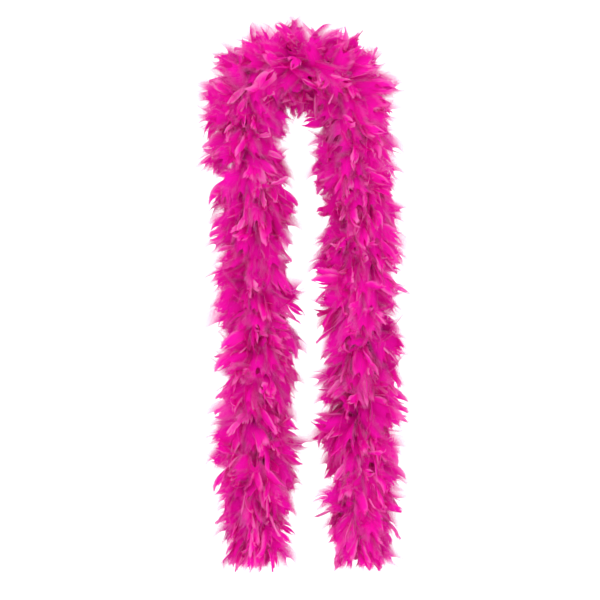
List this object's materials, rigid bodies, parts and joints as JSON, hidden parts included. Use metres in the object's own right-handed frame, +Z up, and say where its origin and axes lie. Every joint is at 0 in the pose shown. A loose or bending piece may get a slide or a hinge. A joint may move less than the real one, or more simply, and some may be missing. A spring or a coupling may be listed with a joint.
{
  "type": "feather boa",
  "caption": "Fluffy dyed feather boa hung by its middle: whorls of feathers bound to a limp twisted core cord, with two hinged hanging tails and knotted ends.",
  "frame": {"origin": "the point under the loop's inner top where a neck or a hook holds the boa up", "axes": "+Z up along the hanging tails, +X from the left tail to the right one, +Y away from the viewer"},
  "size_m": [0.33, 0.1456, 0.9241],
  "materials": {
    "feather": "soft dyed feather, satin vanes",
    "cord": "matt twisted cotton",
    "thread": "fine polyester thread"
  },
  "bodies": {
    "neck_loop": {"core_cord_neck": "cord", "binding_thread_neck": "thread", "feather_whorl_neck_1": "feather", "feather_whorl_neck_2": "feather", "feather_whorl_neck_3": "feather", "feather_whorl_neck_4": "feather", "feather_whorl_neck_5": "feather"},
    "left_tail_1": {"core_cord_left_1": "cord", "binding_thread_left_1": "thread", "feather_whorl_left_1_1": "feather", "feather_whorl_left_1_2": "feather", "feather_whorl_left_1_3": "feather"},
    "left_tail_2": {"core_cord_left_2": "cord", "binding_thread_left_2": "thread", "feather_whorl_left_2_1": "feather", "feather_whorl_left_2_2": "feather", "feather_whorl_left_2_3": "feather"},
    "left_tail_3": {"core_cord_left_3": "cord", "binding_thread_left_3": "thread", "feather_whorl_left_3_1": "feather", "feather_whorl_left_3_2": "feather", "feather_whorl_left_3_3": "feather"},
    "left_tail_4": {"core_cord_left_4": "cord", "binding_thread_left_4": "thread", "feather_whorl_left_4_1": "feather", "feather_whorl_left_4_2": "feather", "feather_whorl_left_4_3": "feather", "end_tuft_left": "feather", "end_whipping_left": "thread", "end_knot_left": "cord"},
    "right_tail_1": {"core_cord_right_1": "cord", "binding_thread_right_1": "thread", "feather_whorl_right_1_1": "feather", "feather_whorl_right_1_2": "feather", "feather_whorl_right_1_3": "feather"},
    "right_tail_2": {"core_cord_right_2": "cord", "binding_thread_right_2": "thread", "feather_whorl_right_2_1": "feather", "feather_whorl_right_2_2": "feather", "feather_whorl_right_2_3": "feather"},
    "right_tail_3": {"core_cord_right_3": "cord", "binding_thread_right_3": "thread", "feather_whorl_right_3_1": "feather", "feather_whorl_right_3_2": "feather", "feather_whorl_right_3_3": "feather"},
    "right_tail_4": {"core_cord_right_4": "cord", "binding_thread_right_4": "thread", "feather_whorl_right_4_1": "feather", "feather_whorl_right_4_2": "feather", "feather_whorl_right_4_3": "feather", "end_tuft_right": "feather", "end_whipping_right": "thread", "end_knot_right": "cord"}
  },
  "joints": [
    {"name": "left_shoulder_fore_aft", "type": "hinge", "parent": "neck_loop", "child": "left_tail_1", "pos_m": [-0.095, 0, -0.02], "axis": [1, 0, 0], "range_deg": [-45, 45]},
    {"name": "left_upper_sideways", "type": "hinge", "parent": "left_tail_1", "child": "left_tail_2", "pos_m": [-0.079, 0, -0.2], "axis": [0, -1, 0], "range_deg": [-30, 5]},
    {"name": "left_middle_fore_aft", "type": "hinge", "parent": "left_tail_2", "child": "left_tail_3", "pos_m": [-0.074, 0, -0.382], "axis": [1, 0, 0], "range_deg": [-40, 40]},
    {"name": "left_lower_sideways", "type": "hinge", "parent": "left_tail_3", "child": "left_tail_4", "pos_m": [-0.079, 0, -0.564], "axis": [0, -1, 0], "range_deg": [-35, 12]},
    {"name": "right_shoulder_fore_aft", "type": "hinge", "parent": "neck_loop", "child": "right_tail_1", "pos_m": [0.086, 0, -0.02], "axis": [1, 0, 0], "range_deg": [-45, 45]},
    {"name": "right_upper_sideways", "type": "hinge", "parent": "right_tail_1", "child": "right_tail_2", "pos_m": [0.097, 0, -0.2], "axis": [0, -1, 0], "range_deg": [-5, 30]},
    {"name": "right_middle_fore_aft", "type": "hinge", "parent": "right_tail_2", "child": "right_tail_3", "pos_m": [0.102, 0, -0.382], "axis": [1, 0, 0], "range_deg": [-40, 40]},
    {"name": "right_lower_sideways", "type": "hinge", "parent": "right_tail_3", "child": "right_tail_4", "pos_m": [0.097, 0, -0.564], "axis": [0, -1, 0], "range_deg": [-12, 35]}
  ]
}
